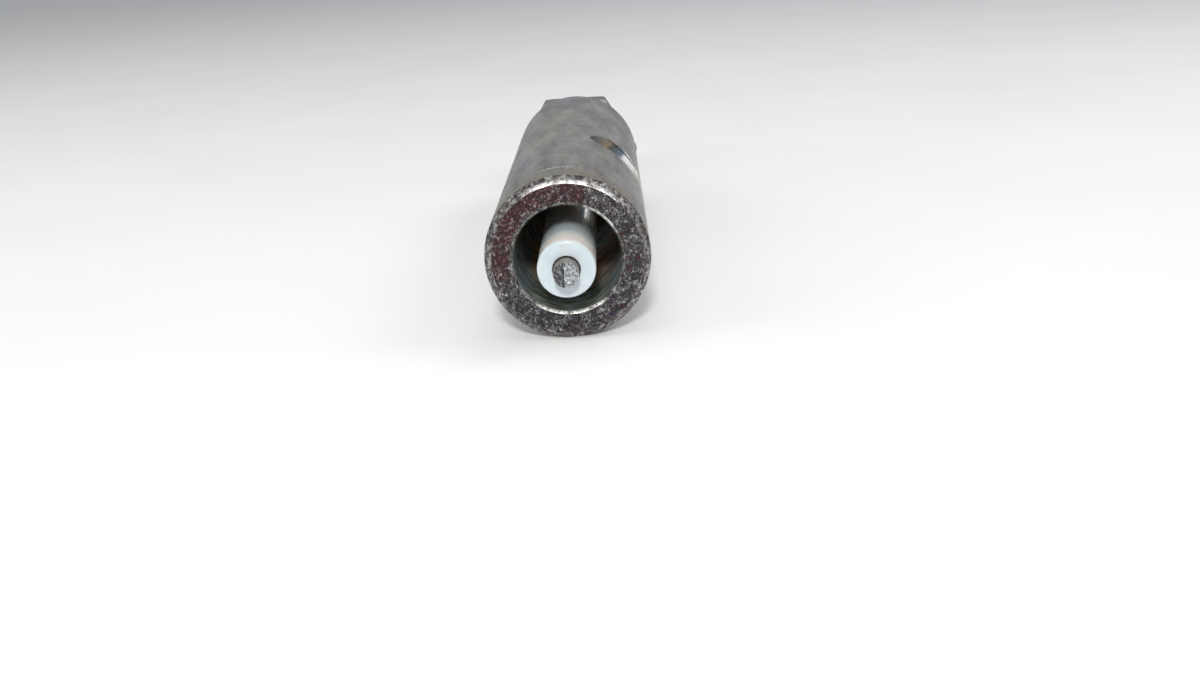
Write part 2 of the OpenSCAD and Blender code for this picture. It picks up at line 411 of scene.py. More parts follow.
def sleeve_mouth():
    """Rough-ground end face: dense light and dark specks, and old maroon residue to the upper left."""
    bare_metal, residue_metal = 0.55, 0.05
    f = Finish("steel_mouth", metallic=bare_metal, roughness=0.5)
    coarse = f.noise(2.2, 6, 0.75)
    fine = f.noise(6.0, 4, 0.8, shift=11)
    speck = f.plus(f.times(coarse, 0.5), f.times(fine, 0.5))
    colour = f.ramp(speck, (0.42, (0.008, 0.006, 0.008)), (0.48, (0.05, 0.046, 0.05)),
                    (0.54, (0.12, 0.118, 0.12)), (0.6, (0.66, 0.66, 0.66)))
    worn_dark = f.falling(f.noise(0.8, 5, 0.7, shift=47), 0.44, 0.58)
    colour = f.mix(worn_dark, colour, WORN_TINT, "MULTIPLY")
    upper_left = f.band(f.angle, -1.7, 0.2, 0.3)
    mid_ring = f.band(f.radius, 7.7, 9.5, 0.4)
    patch = f.ramp(f.noise(0.55, 5, 0.65, shift=31), (0.34, 0.15), (0.46, 1))
    broken = f.ramp(f.plus(speck, f.times(coarse, 0.1)), (0.56, 1), (0.63, 0.3))
    covered = f.times(upper_left, mid_ring, patch, broken)
    colour = f.mix(covered, colour, f.ramp(coarse, (0.42, MAROON_DARK), (0.54, MAROON)))
    f.put(f.shader.inputs["Metallic"], f.ramp(covered, (0.0, bare_metal), (1.0, residue_metal)))
    flecks = f.rising(f.noise(1.3, 4, 0.7, shift=77), 0.57, 0.62, 0.9)
    flecks = f.times(flecks, f.band(f.angle, 0.7, 2.9, 0.4), broken)
    colour = f.mix(flecks, colour, MAROON_FLECK)
    # Dark purple specks only on the lower part of the face, darkening it towards the bottom
    low_specks = f.rising(f.noise(1.9, 4, 0.7, shift=55), 0.56, 0.6, 0.9)
    colour = f.mix(f.times(low_specks, f.band(f.z, -11, -6, 2)), colour, LOW_DARK_SPECK)
    f.relief(speck, 0.2)
    grain = f.ramp(fine, (0.4, 0.66), (0.6, 0.3))
    return f.done(colour, f.mix(covered, grain, (0.75, 0.75, 0.75)))


def sleeve_edge():
    """The mouth's two chamfers: brown-grey, with a painted highlight along the top of the outer chamfer, and
    bright chamfer metal along the bore's lip that is partly a painted highlight.
    """
    f = Finish("steel_edge", metallic=0.9, roughness=0.3)
    worn = f.noise(1.6, 6, 0.75, shift=13)
    dull = f.ramp(worn, (0.38, (0.045, 0.036, 0.036)), (0.5, (0.13, 0.12, 0.118)), (0.6, (0.42, 0.41, 0.4)))
    # The bright colour used for the painted highlights on the chamfers
    bright = f.ramp(worn, (0.36, (0.12, 0.11, 0.105)), (0.46, (0.5, 0.49, 0.47)), (0.56, (0.86, 0.86, 0.85)))
    # Painted highlight: a bright band on the inner part of the outer chamfer, across its top
    rim = f.times(f.band(f.angle, -0.25, 0.5, 0.4), f.band(f.radius, 9, 9.95, 0.3))
    # Bright chamfer metal along the bore's lip, at the bottom and to the upper right, partly a painted
    # highlight
    lip = f.math("MAXIMUM", f.band(f.z, -8, -6.3, 0.9), f.band(f.angle, 0.5, 1.0, 0.2))
    lip = f.times(lip, f.band(f.radius, 6, 7.6, 0.3))
    colour = f.mix(f.math("MAXIMUM", rim, lip), dull, bright)
    f.relief(f.noise(5.0, 4, 0.7), 0.06)
    return f.done(colour, f.ramp(worn, (0.4, 0.55), (0.6, 0.26)))


def sleeve_bore():
    """Machined bore: blue-grey with fine tool lines round it, a painted olive reflection at the bottom, and
    painted tan reflections deeper in.
    """
    f = Finish("steel_bore", metallic=0.7, roughness=0.36)
    cloud = f.noise(0.35, 4, 0.6)
    colour = f.ramp(cloud, (0.35, (0.13, 0.215, 0.26)), (0.65, (0.23, 0.34, 0.39)))
    # Painted reflection: olive on the lower wall of the bore
    olive_reflection = f.times(f.band(f.z, -9, -5.2, 1.6), f.ramp(cloud, (0.3, 0.9), (0.8, 0.5)))
    colour = f.mix(olive_reflection, colour, OLIVE_REFLECTION)
    lines = f.noise(1.0, 3, 0.7, stretch=(0.05, 0.5, 0.05), shift=4)
    scored = f.ramp(lines, (0.38, 0), (0.41, 1), (0.44, 0), (0.49, 0),
                    (0.52, 1), (0.55, 0), (0.6, 1), (0.63, 0))
    colour = f.mix(scored, colour, SCORED_BRIGHT)
    # Painted reflection: tan patches on the bore's wall, from 12 mm behind the mouth to the rear
    stain_and_reflection = f.rising(f.noise(0.3, 3, 0.5, stretch=(1, 0.2, 1), shift=33), 0.45, 0.56, 0.9)
    sleeve_length = (SLEEVE_REAR - MOUTH) / MM
    colour = f.mix(f.times(stain_and_reflection, f.behind_mouth(12, sleeve_length, 6)), colour, TAN_REFLECTION)
    f.relief(lines, 0.02)
    return f.done(colour, f.ramp(lines, (0.3, 0.24), (0.7, 0.42)))


def port_wall():
    """Drilled wall of the side port, with drill rings. Across the port its colour runs from grey through a
    tan patch to painted shade on the far wall, then blue turning into a white painted highlight.
    """
    f = Finish("steel_port", metallic=0.12, roughness=0.35)
    tint = f.noise(0.5, 4, 0.6, shift=61)
    across = f.math("SUBTRACT", f.times(f.x, math.cos(PORT_ANGLE)), f.times(f.z, math.sin(PORT_ANGLE)))
    across = f.plus(across, f.times(f.math("SUBTRACT", tint, 0.5), 2.0))
    # Colour across the port: grey, a tan patch, painted shade on the far wall, then blue into a white painted
    # highlight, and grey again
    colour = f.ramp(f.share(across, -5.5, 5.5), (0.15, (0.19, 0.185, 0.18)), (0.31, (0.34, 0.28, 0.18)),
                    (0.39, (0.1, 0.1, 0.105)), (0.5, (0.2, 0.25, 0.33)), (0.58, (0.96, 0.99, 1.0)),
                    (0.75, (0.97, 0.98, 0.97)), (0.88, (0.5, 0.48, 0.44)))
    f.relief(f.noise(1.0, 3, 0.6, stretch=(1.5, 0.4, 1.5), shift=8), 0.04)
    return f.done(colour, f.ramp(tint, (0.3, 0.2), (0.7, 0.38)))


def turned_steel(name, base, warm=0.0, roughness=0.32):
    """Turned and milled steel with fine tool lines, faint staining and rust where warm says so."""
    f = Finish(name, metallic=0.92, roughness=roughness)
    stain_and_reflection = f.noise(0.5, 5, 0.6, shift=17)
    dark = tuple(c * 0.62 for c in base)
    pale = tuple(min(1, c * 1.15) for c in base)
    colour = f.ramp(stain_and_reflection, (0.32, dark), (0.5, base), (0.7, pale))
    if warm:
        colour = f.mix(f.rising(f.noise(1.4, 5, 0.7, shift=29), 0.6, 0.72, warm), colour, RUST)
    f.relief(f.noise(1.0, 2, 0.6, stretch=(0.4, 7.0, 0.4), shift=6), 0.008)
    f.relief(f.rings(6.0), 0.01)
    scratch = f.noise(1.0, 3, 0.7, stretch=(3.0, 0.5, 0.6), shift=12)
    return f.done(colour, f.ramp(scratch, (0.4, roughness * 0.75), (0.65, roughness * 1.4)))


def alumina():
    """Dense white alumina, glossy, cool white on the tip's face. Along the side the colour is painted light:
    cream behind the tip and teal-grey further in are painted reflections, and the dark grey deepest in is the
    painted shadow of the sleeve's rim.
    """
    f = Finish("alumina", roughness=0.2, Coat_Weight=0.35, Coat_Roughness=0.08, IOR=1.62)
    front = INSULATOR_FRONT / MM
    depth = f.plus(f.y, f.times(f.noise(0.5, 3, 0.5), 1.2))
    # Side colour by depth: painted reflections in cream and teal-grey, then the painted shadow of the
    # sleeve's rim in dark grey
    side = f.ramp(
        f.share(depth, front, front + 16),
        (0.0, (0.92, 0.9, 0.85)), (0.2, (0.92, 0.85, 0.78)), (0.33, (0.8, 0.84, 0.82)),
        (0.55, (0.64, 0.76, 0.77)), (0.68, (0.34, 0.34, 0.32)))
    face = f.band(f.y, front - 1, front + 0.22, 0.2)
    colour = f.mix(face, side, CERAMIC_FACE)
    cloudy = f.ramp(f.noise(0.8, 4, 0.6, shift=7), (0.35, 0.93), (0.65, 1))
    colour = f.mix(1.0, colour, cloudy, "MULTIPLY")
    colour = f.mix(f.band(f.y, 20, 90, 6), colour, CERAMIC_REAR)
    colour = f.mix(f.rising(f.noise(2.6, 2, 0.5, shift=91), 0.7, 0.76, 0.5), colour, CERAMIC_SPECK)
    f.relief(f.noise(1.6, 3, 0.5, shift=3), 0.01)
    return f.done(colour, f.ramp(f.noise(1.1, 3, 0.5, shift=19), (0.35, 0.14), (0.7, 0.27)))


def rod_side():
    """Oxidised heat-resisting wire, drawn along its length."""
    f = Finish("rod_side", metallic=0.85, roughness=0.42)
    colour = f.ramp(f.noise(1.1, 5, 0.65), (0.35, (0.16, 0.13, 0.115)), (0.55, (0.30, 0.26, 0.235)),
                    (0.7, (0.42, 0.38, 0.35)))
    drawn = f.noise(1.0, 2, 0.5, stretch=(9.0, 0.3, 9.0), shift=2)
    f.relief(drawn, 0.015)
    return f.done(colour, f.ramp(drawn, (0.35, 0.34), (0.65, 0.52)))


def rod_end():
    """Freshly sheared end: bright torn metal on one side of a crease; on the other, smeared metal painted
    darker as shade for the facet turned from the light.
    """
    f = Finish("rod_end", metallic=0.95, roughness=0.3)
    torn = f.noise(3.0, 6, 0.8)
    colour = f.ramp(torn, (0.4, (0.08, 0.08, 0.085)), (0.48, (0.38, 0.4, 0.42)), (0.6, (0.9, 0.94, 0.98)))
    smeared_and_shaded = f.ramp(torn, (0.42, (0.04, 0.036, 0.04)), (0.5, (0.12, 0.12, 0.13)), (0.62, (0.4, 0.4, 0.42)))
    edge = f.plus(f.x, f.times(f.noise(1.2, 3, 0.6, shift=71), 0.8))
    # The left facet: smeared metal, painted darker as shade
    colour = f.mix(f.band(edge, -4, 0.1, 0.08), colour, smeared_and_shaded)
    colour = f.mix(f.band(edge, 0.06, 0.12, 0.05), colour, CREASE_BLACK)
    f.relief(torn, 0.3)
    return f.done(colour, f.ramp(torn, (0.4, 0.5), (0.6, 0.2)))


def brass():
    """Turned brass, slightly tarnished, with small brown spots."""
    f = Finish("brass_turned", metallic=0.95, roughness=0.28)
    tarnish = f.noise(0.6, 5, 0.65, shift=23)
    colour = f.ramp(tarnish, (0.34, (0.36, 0.24, 0.09)), (0.5, (0.62, 0.46, 0.19)), (0.7, (0.76, 0.6, 0.3)))
    colour = f.mix(f.rising(f.noise(2.8, 4, 0.7, shift=37), 0.62, 0.7, 0.5), colour, TARNISH_SPOT)
    f.relief(f.noise(1.0, 2, 0.6, stretch=(0.3, 9.0, 0.3), shift=6), 0.008)
    return f.done(colour, f.ramp(tarnish, (0.35, 0.42), (0.7, 0.22)))


def copper():
    """Annealed copper, clouded by heat."""
    f = Finish("copper_gasket", metallic=0.9, roughness=0.42)
    cloud = f.noise(1.2, 5, 0.65)
    colour = f.ramp(cloud, (0.35, (0.28, 0.12, 0.07)), (0.55, (0.55, 0.27, 0.16)), (0.72, (0.68, 0.38, 0.25)))
    f.relief(f.noise(4.0, 3, 0.6), 0.02)
    return f.done(colour, f.ramp(cloud, (0.35, 0.52), (0.7, 0.34)))


def graphite():
    """Pressed graphite tape, wound in fine layers."""
    f = Finish("graphite_ring", metallic=0.2, roughness=0.5)
    flake = f.noise(3.0, 4, 0.7)
    colour = f.ramp(flake, (0.4, (0.02, 0.02, 0.022)), (0.65, (0.09, 0.09, 0.095)))
    f.relief(f.rings(9.0), 0.03)
    return f.done(colour, f.ramp(flake, (0.35, 0.62), (0.65, 0.38)))


def cement():
    """Fired refractory cement, grainy and porous."""
    f = Finish("fired_cement", roughness=0.9)
    grain = f.noise(2.4, 6, 0.75)
    colour = f.ramp(grain, (0.35, (0.42, 0.36, 0.27)), (0.6, (0.68, 0.61, 0.5)))
    f.relief(f.grains(5.0), 0.08)
    return f.done(colour, f.ramp(grain, (0.3, 0.95), (0.7, 0.8)))


def mica():
    """Mica fibre board, pale brown with shining flakes."""
    f = Finish("mica_fibre", roughness=0.6)
    flake = f.grains(3.5)
    colour = f.ramp(flake, (0.1, (0.66, 0.58, 0.42)), (0.6, (0.42, 0.35, 0.22)))
    f.relief(f.noise(4.0, 4, 0.6), 0.04)
    return f.done(colour, f.ramp(flake, (0.1, 0.3), (0.5, 0.75)))


def zinc():
    """Bright zinc plate with a faint blue passivation bloom."""
    f = Finish("zinc_plate", metallic=0.95, roughness=0.26)
    bloom = f.noise(0.9, 4, 0.6, shift=43)
    colour = f.ramp(bloom, (0.32, (0.5, 0.53, 0.58)), (0.5, (0.64, 0.65, 0.66)), (0.7, (0.68, 0.66, 0.58)))
    f.relief(f.noise(3.5, 4, 0.6), 0.012)
    return f.done(colour, f.ramp(f.noise(2.0, 4, 0.6, shift=5), (0.35, 0.2), (0.7, 0.4)))


SLEEVE_STEELS = [sleeve_outside(), sleeve_mouth(), sleeve_edge(), sleeve_bore(), port_wall()]
GLAND_STEEL = turned_steel("gland_steel_turned", (0.32, 0.315, 0.305), warm=0.35, roughness=0.5)
SPRING_STEEL = turned_steel("phosphated_spring", (0.16, 0.16, 0.17), roughness=0.45)
ALUMINA, ROD_SIDE, ROD_END = alumina(), rod_side(), rod_end()
BRASS, COPPER, GRAPHITE, CEMENT, MICA, ZINC = brass(), copper(), graphite(), cement(), mica(), zinc()

# ---------------------------------------------------------------- the sleeve

OUTSIDE, MOUTH_FACE, EDGE, BORE, PORT = range(5)
WINDOW_ANGLE = math.radians(66)
WINDOW_HALF = 7.4 * MM
WINDOW_FRONT, WINDOW_REAR = PORT_CENTRE.y - WINDOW_HALF, PORT_CENTRE.y + WINDOW_HALF
WINDOW_COLUMNS = 64
WINDOW_ROWS = 40
OTHER_COLUMNS = 112
SKIN_STEPS = 14  # rings on a surface between the window's edge and the port
WALL_STEPS = 8
CORNER_SOFT = 0.12 * MM
TAP_RUNOUT = 1.2 * MM

# Size of a surface's unevenness, its depth and the seed of its noise
WEAR = {
    MOUTH_FACE: (1.1 * MM, 0.07 * MM, 3.0),
    EDGE: (1.6 * MM, 0.07 * MM, 8.0),
    OUTSIDE: (5.0 * MM, 0.05 * MM, 5.0),
}


def dent(point, kind):
    """Smooth unevenness of a surface, always into the metal."""
    size, depth, seed = WEAR[kind]
    at = Vector(point) / size + Vector((seed, -seed, seed * 0.5))
    return depth * max(0.0, 0.5 + 0.5 * noise.fractal(at, 0.8, 2.0, 4))


def worn(point, kind):
    """Moves a sleeve point a little into the metal, as turning, grinding and handling leave it."""
    p = Vector(point)
    out = Vector((p.x, 0, p.z)).normalized()
    near_mouth = p.y < MOUTH + 2 * MM
    if kind == MOUTH_FACE:
        return p + Vector((0, dent(p, kind), 0))
    if kind == EDGE and near_mouth:
        inward = -1 if p.xz.length > (BORE_R + SLEEVE_R) / 2 else 1
        amount = dent(p, kind)
        return p + Vector((0, amount, 0)) + out * inward * amount * 0.5
    if kind == OUTSIDE:
        return p - out * dent(p, kind)
    return p


def sleeve_rows():
    """Rows (station, radius, kind) once round the sleeve's wall, from the mouth's bore edge."""
    soft = CORNER_SOFT
    flat_in, flat_out = BORE_R + MOUTH_CHAMFER, SLEEVE_R - EDGE_CHAMFER
    chamfer_rear, rear_chamfer = MOUTH + EDGE_CHAMFER, SLEEVE_REAR - EDGE_CHAMFER
    tapped_front = SPIGOT_FRONT - TAP_RUNOUT
    # Station and radius of a corner, then rows and kind of the stretch behind it
    stretches = [
        (MOUTH + MOUTH_CHAMFER, BORE_R, 4, EDGE),
        (MOUTH + soft / 2, flat_in - soft / 2, 2, EDGE),
        (MOUTH, flat_in + soft, 22, MOUTH_FACE),
        (MOUTH, flat_out - soft, 3, EDGE),
        (MOUTH + soft, flat_out + soft, 6, EDGE),
        (chamfer_rear - soft, SLEEVE_R - soft, 3, EDGE),
        (chamfer_rear + soft, SLEEVE_R, 44, OUTSIDE),
        (WINDOW_FRONT, SLEEVE_R, WINDOW_ROWS, OUTSIDE),
        (WINDOW_REAR, SLEEVE_R, 60, OUTSIDE),
        (rear_chamfer - soft, SLEEVE_R, 3, OUTSIDE),
        (rear_chamfer + soft, SLEEVE_R - soft, 3, OUTSIDE),
        (SLEEVE_REAR - soft, flat_out + soft, 3, OUTSIDE),
        (SLEEVE_REAR, flat_out - soft, 3, OUTSIDE),
        (SLEEVE_REAR, TAPPED_R, 8, BORE),
        (tapped_front, TAPPED_R, 2, BORE),
        (tapped_front, BORE_R, 30, BORE),
        (WINDOW_REAR, BORE_R, WINDOW_ROWS, BORE),
        (WINDOW_FRONT, BORE_R, 40, BORE),
    ]
    rows = []
    for i, (y, r, count, kind) in enumerate(stretches):
        end = Vector(stretches[(i + 1) % len(stretches)][:2])
        for k in range(count):
            p = Vector((y, r)).lerp(end, k / count)
            rows.append((p.x, p.y, kind))
    return rows


def sleeve_angles():
    """Angles round the sleeve, with the port's window first."""
    start, width = PORT_ANGLE - WINDOW_ANGLE, 2 * WINDOW_ANGLE
    inside = [start + width * k / WINDOW_COLUMNS for k in range(WINDOW_COLUMNS)]
    outside = [start + width + (TURN - width) * k / OTHER_COLUMNS for k in range(OTHER_COLUMNS)]
    return inside + outside


def window_edge():
    """Points (u, v) from -1 to 1 round the edge of the port's window."""
    across = [-1 + 2 * k / WINDOW_COLUMNS for k in range(WINDOW_COLUMNS)]
    along = [-1 + 2 * k / WINDOW_ROWS for k in range(WINDOW_ROWS)]
    return (
        [(u, -1) for u in across] + [(1, v) for v in along]
        + [(-u, 1) for u in across] + [(-1, -v) for v in along]
    )


def port_point(turn, reach, surface_r, sink=0.0):
    """Point round the port at a reach from its axis, on a cylinder of a radius or sunk below it."""
    across = reach * math.cos(turn)
    height = math.sqrt(surface_r**2 - across**2) - sink
    x = across * math.cos(PORT_ANGLE) + height * math.sin(PORT_ANGLE)
    z = -across * math.sin(PORT_ANGLE) + height * math.cos(PORT_ANGLE)
    return Vector((x, PORT_CENTRE.y + reach * math.sin(turn), z))


def skin_rings(edge, turns, surface_r, reach):
    """Rings on a surface, from the window's edge inward to the port's rounding."""
    closer_at_port = 1.25
    rings = []
    for k in range(SKIN_STEPS + 1):
        s = (1 - k / SKIN_STEPS) ** closer_at_port
        ring = []
        for (u, v), turn in zip(edge, turns):
            angle = math.asin(reach * math.cos(turn) / surface_r)
            station = reach * math.sin(turn)
            angle += (u * WINDOW_ANGLE - angle) * s
            station += (v * WINDOW_HALF - station) * s
            ring.append(Vector(on_axis(PORT_ANGLE + angle, PORT_CENTRE.y + station, surface_r)))
        rings.append(ring)
    return rings


def rounding_rings(turns, surface_r, soft, inward):
    """Rings that turn the port's edge, from the surface to the wall."""
    rings = []
    for t in (0.2, 0.4, 0.6, 0.8, 1.0):
        ring = []
        for turn in turns:
            a = port_point(turn, PORT_R + soft, surface_r)
            b = port_point(turn, PORT_R, surface_r)
            c = port_point(turn, PORT_R, surface_r, soft * inward)
            ring.append(curve(a, b, c, t))
        rings.append(ring)
    return rings


def port_rings():
    """Rings of points from the window's edge outside, through the port, to its edge in the bore.

    The second list gives the kind of the faces behind each ring.
    """
    edge = window_edge()
    turns = [math.atan2(v, u) for u, v in edge]
    round_out, round_in = 0.22 * MM, 0.15 * MM
    outer = skin_rings(edge, turns, SLEEVE_R, PORT_R + round_out)
    outer_round = rounding_rings(turns, SLEEVE_R, round_out, 1)
    inner = skin_rings(edge, turns, BORE_R, PORT_R + round_in)
    inner_round = rounding_rings(turns, BORE_R, round_in, -1)
    wall = []
    for k in range(1, WALL_STEPS):
        wall.append([a.lerp(b, k / WALL_STEPS) for a, b in zip(outer_round[-1], inner_round[-1])])
    rings = outer + outer_round + wall + inner_round[::-1] + inner[::-1]
    in_port = len(outer_round) + len(wall) + 1 + len(inner_round)
    kinds = [OUTSIDE] * SKIN_STEPS + [PORT] * in_port + [BORE] * SKIN_STEPS
    return rings, kinds


def make_sleeve():
    """The tube's wall with a window left open, and the port with its surroundings in that window."""
    rows, angles = sleeve_rows(), sleeve_angles()
    count = len(angles)
    verts, faces, kinds = [], [], []
    for y, r, kind in rows:
        verts += [worn(on_axis(a, y, r), kind) for a in angles]
    for i, (y, r, kind) in enumerate(rows):
        j = (i + 1) % len(rows)
        band = quads(i * count, j * count, count)
        along_tube = r == rows[j][1] and kind in (OUTSIDE, BORE)
        if along_tube and WINDOW_FRONT < (y + rows[j][0]) / 2 < WINDOW_REAR:
            band = band[WINDOW_COLUMNS:]
        faces += band
        kinds += [kind] * len(band)
    rings, ring_kinds = port_rings()
    base, width = len(verts), len(rings[0])
    for i, ring in enumerate(rings):
        verts += [worn(p, OUTSIDE) for p in ring] if i <= SKIN_STEPS else ring
    for i, kind in enumerate(ring_kinds):
        faces += quads(base + i * width, base + (i + 1) * width, width)
        kinds += [kind] * width
    obj = mesh_object("sleeve_steel_tube", verts, faces, kinds, SLEEVE_STEELS, sharp=40)
    place(obj, "sleeve", "housing")


make_sleeve()

# ---------------------------------------------------------------- ceramic, rod and seals


def ring_piece(node, body, material, fillet=0.1):
    """A turned ring in the place of its CAD node, with edges rounded by a fillet in millimetres."""
    front, rear, inner, outer = spans(node)
    soft = fillet * MM
    corners = [(front, inner, soft), (front, outer, soft), (rear, outer, soft), (rear, inner, soft)]
    outline = divided(rounded(corners), step=0.6 * MM)
    obj = lathe(node + "_turned", outline, even(ROUND_COLUMNS), [material])
    place(obj, node, body)


def make_insulator():
    """Ceramic tube, with a pocket for the cement in its rear end."""
    cement_front, _, _, cement_r = spans("cement_seal")
    corners = [
        (INSULATOR_FRONT, ROD_HOLE_R, 0.16 * MM), (INSULATOR_FRONT, INSULATOR_R, 0.45 * MM),
        (INSULATOR_REAR, INSULATOR_R, 0.3 * MM), (INSULATOR_REAR, cement_r, 0.1 * MM),
        (cement_front, cement_r, 0.05 * MM), (cement_front, ROD_HOLE_R, 0.05 * MM),
    ]
    outline = divided(rounded(corners, steps=6), step=1.0 * MM)
    obj = lathe("ceramic_tube", outline, even(ROUND_COLUMNS), [ALUMINA])
    place(obj, "insulator_tube", "electrode")


def shear_depth(point):
    """How far the shears left a point of the rod's end below its tip."""
    crease_x, crease_lean = -0.35 * MM, 0.12
    left_slope, right_slope = 0.3, 0.09
    left_tear, right_tear, tear_size = 0.035, 0.1, 0.42 * MM
    rim_drop = 0.16 * MM
    left = max(0.0, crease_x + crease_lean * point.z - point.x)
    right = max(0.0, point.x - crease_x - crease_lean * point.z)
    sink = left_slope * left + right_slope * right
    sink += rim_drop * (point.xz.length / ROD_R) ** 5
    torn = 0.5 + 0.5 * noise.fractal(point / tear_size, 0.7, 2.1, 4)
    return sink + (right_tear if right > 0 else left_tear) * MM * torn


def make_rod():
    """Rod with a sheared end: two faces that meet in a crease, torn on the right and smeared on the left."""
    columns, end_rings = 96, 16
    below_tear, fine_rear, bevel = ROD_FRONT + 0.9 * MM, ROD_FRONT + 8 * MM, 0.15 * MM
    end = [(ROD_FRONT, ROD_R * k / end_rings) for k in range(end_rings + 1)]
    side = rows_between(below_tear, fine_rear, ROD_R, step=0.3 * MM)
    side += [(ROD_REAR - bevel, ROD_R), (ROD_REAR, ROD_R - bevel), (ROD_REAR, 0.0)]
    obj = lathe("spark_rod", end + side, even(columns), [ROD_SIDE, ROD_END],
                kind=lambda y, r: 1 if y < ROD_FRONT + 0.1 * MM else 0, sharp=60)
    for v in obj.data.vertices:
        if v.co.y <= ROD_FRONT + 0.01 * MM:
            v.co.y += shear_depth(v.co)
    place(obj, "electrode_rod", "electrode")


make_insulator()
make_rod()
ring_piece("cement_seal", "electrode", CEMENT, fillet=0.05)
ring_piece("cushion_washer", "electrode", MICA, fillet=0.05)
ring_piece("seat_washer", "housing", GLAND_STEEL)
for where in ("front", "middle", "rear"):
    ring_piece("packing_ring_" + where, "housing", GRAPHITE, fillet=0.2)
ring_piece("follower", "gland_follower", BRASS, fillet=0.15)
ring_piece("body_gasket", "housing", COPPER, fillet=0.25)

# ---------------------------------------------------------------- hexagons and threads

# Degrees from the middle of a flat, closer together towards the corners
HALF_SIDE = (6, 12, 18, 22.5, 25.5, 27.3, 28.4, 29.1, 29.6)
SIDE_STEPS = (-30, *(-step for step in reversed(HALF_SIDE)), 0, *HALF_SIDE)
HEX_ANGLES = [math.radians(60 * side + step) for side in range(6) for step in SIDE_STEPS]
HEX_SHARP = 42
NUT_CHAMFER = 0.5 * MM
# Distances of rows from a hexagon's end, in millimetres
CHAMFER_ROWS = (0, 0.06, 0.12, 0.2, 0.3, 0.4, 0.5, 0.62, 0.8)
GROOVE_HALF = 0.44  # of a pitch

GLAND_THREAD_DROP = 0.7 * MM  # gland nut's flats to its thread's crest
GLAND_THREAD_GAP = 0.05 * MM
SPIGOT_GAP = 0.05 * MM
PACKING_GAP = 0.03 * MM
LEAD_BEVEL = 0.3 * MM  # at a thread's start
NUT_HEAD_GAP = 1.5 * MM  # gland body to gland nut's head


def hex_shape(corner_r):
    """Clips a radius to a hexagon with a flat on top and slightly rounded corners."""
    flat_r, rounded_r, inside_r = corner_r * COS_30, corner_r - 0.1 * MM, corner_r * COS_30 * 0.9
    step = math.radians(60)

    def shape(angle, station, radius):
        if radius < inside_r:
            return radius
        off = (angle + step / 2) % step - step / 2
        side = soft_min(flat_r / math.cos(off), rounded_r, blend=0.03 * MM)
        return soft_min(side, radius, blend=0.04 * MM)

    return shape


def hex_outline(front, rear, corner_r, inner_r):
    """Closed outline of a chamfered hexagon, with close rows at its chamfers."""
    soft = 0.06 * MM
    chamfer = [(s * MM, corner_r - max(0.0, NUT_CHAMFER - s * MM)) for s in CHAMFER_ROWS]
    out = [(front + soft, inner_r), (front, inner_r + soft)]
    out += [(front + depth, r) for depth, r in chamfer]
    out += [(rear - depth, r) for depth, r in reversed(chamfer)]
    return out + [(rear, inner_r + soft), (rear - soft, inner_r)]


def thread_shape(pitch, depth, start, end):
    """Cuts a right-hand helical groove into radii between two stations."""

    def shape(angle, station, radius):
        if not start <= station <= end:
            return radius
        phase = (station / pitch - angle / TURN) % 1.0
        groove = max(0.0, 1 - abs(phase - 0.5) / GROOVE_HALF)
        ease = min(1.0, (station - start) / pitch, (end - station) / pitch)
        return radius - depth * groove * ease

    return shape


def screw_shape(cut, hexed, head_front, shank_inside):
    """A thread cut in front of a station, outside a radius, and a hexagon behind that station."""

    def shape(angle, station, radius):
        if station >= head_front - 0.01 * MM:
            return hexed(angle, station, radius)
        return cut(angle, station, radius) if radius > shank_inside + 1 * MM else radius

    return shape


def make_gland_body():
    """Threaded spigot, hexagon, and a stepped chamber for the packing, follower and nut."""
    spigot_r = TAPPED_R - SPIGOT_GAP
    nut_front, _, _, nut_corner = spans("gland_nut")
    chamber_front = spans("seat_washer")[0]
    chamber_r = spans("packing_ring_rear")[3] + PACKING_GAP
    thread_r = nut_corner * COS_30 - GLAND_THREAD_DROP + GLAND_THREAD_GAP
    chamber_rear = nut_front - 0.6 * MM
    mouth_bevel = 0.25 * MM
    outline = [(SPIGOT_FRONT, SLIDE_R), (SPIGOT_FRONT, spigot_r - LEAD_BEVEL)]
    outline += rows_between(SPIGOT_FRONT + LEAD_BEVEL, HEX_FRONT - 0.05 * MM, spigot_r, step=0.13 * MM)
    outline += [(HEX_FRONT, spigot_r)]
    outline += hex_outline(HEX_FRONT, BODY_REAR, BODY_CORNER_R, SLIDE_R)[2:-2]
    outline += [(BODY_REAR, thread_r + mouth_bevel), (BODY_REAR - mouth_bevel, thread_r)]
    outline += rows_between(BODY_REAR - 0.5 * MM, chamber_rear, thread_r, step=0.6 * MM)
    outline += [(chamber_rear, chamber_r), (chamber_front, chamber_r), (chamber_front, SLIDE_R)]
    cut = thread_shape(pitch=1.34 * MM, depth=0.75 * MM, start=SPIGOT_FRONT, end=SLEEVE_REAR)
    shape = screw_shape(cut, hex_shape(BODY_CORNER_R), HEX_FRONT, chamber_r)
    obj = lathe("gland_body_hexagon", outline, HEX_ANGLES, [GLAND_STEEL], shape, sharp=HEX_SHARP)
    place(obj, "gland_body", "housing")


